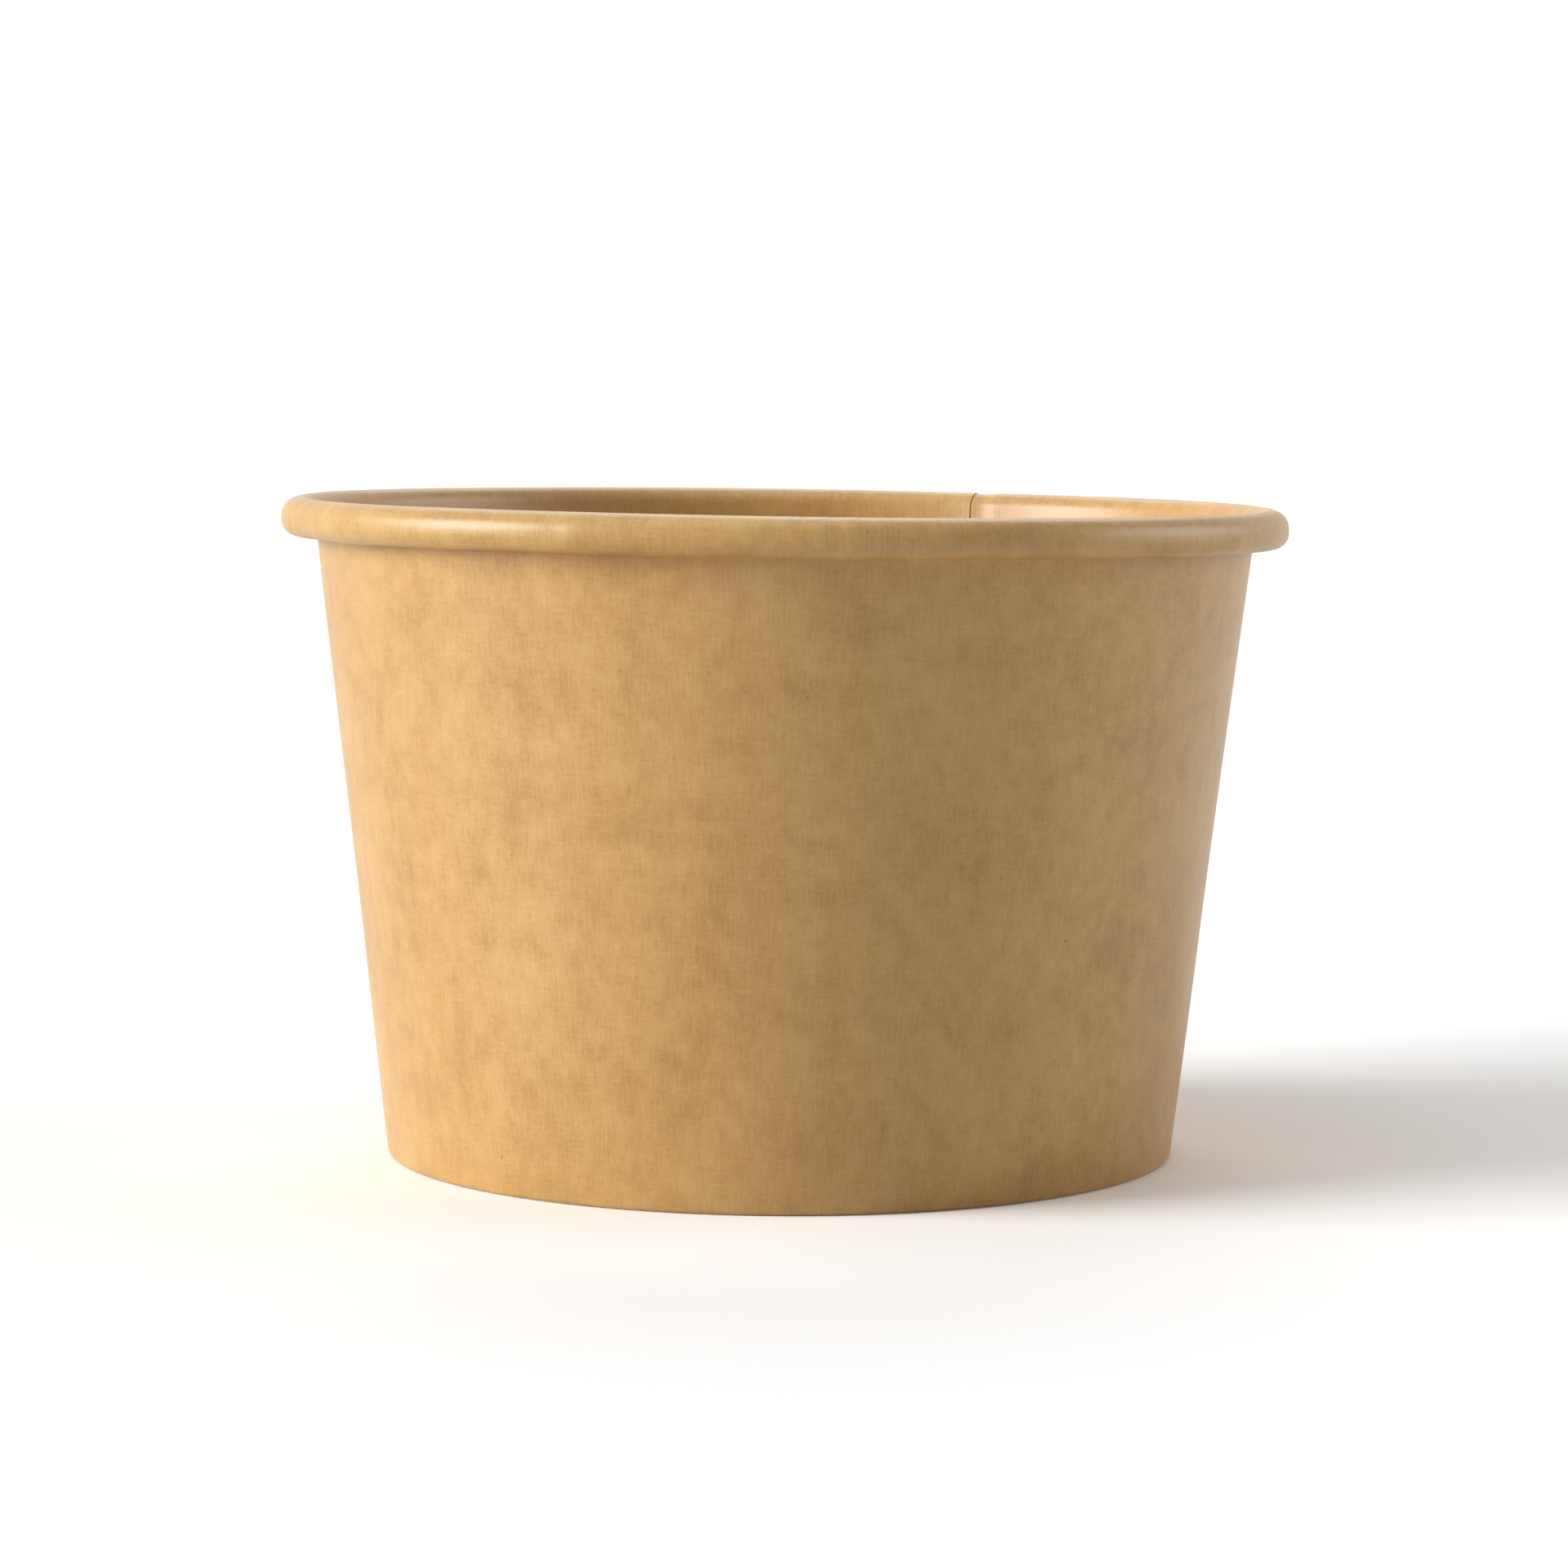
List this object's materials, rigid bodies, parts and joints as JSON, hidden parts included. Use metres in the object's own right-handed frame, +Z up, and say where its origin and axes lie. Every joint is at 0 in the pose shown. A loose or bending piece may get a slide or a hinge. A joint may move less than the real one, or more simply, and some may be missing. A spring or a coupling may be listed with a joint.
{
  "type": "paper ice cream tub",
  "caption": "Round tapered kraft paper tub, open at the top, with a rolled rim, an overlapped side seam and a recessed base held in a folded foot.",
  "frame": {"origin": "centre of the foot, on the surface that the tub stands on", "axes": "+Z up along the tub's axis, out of its mouth; the side seam is in the +X +Y quarter"},
  "size_m": [0.096, 0.096, 0.0625],
  "materials": {
    "kraft_board": "satin film over brown kraft",
    "base_board": "satin film over brown kraft"
  },
  "bodies": {
    "root": {"side_wall": "kraft_board", "base_disc": "base_board"}
  },
  "joints": []
}
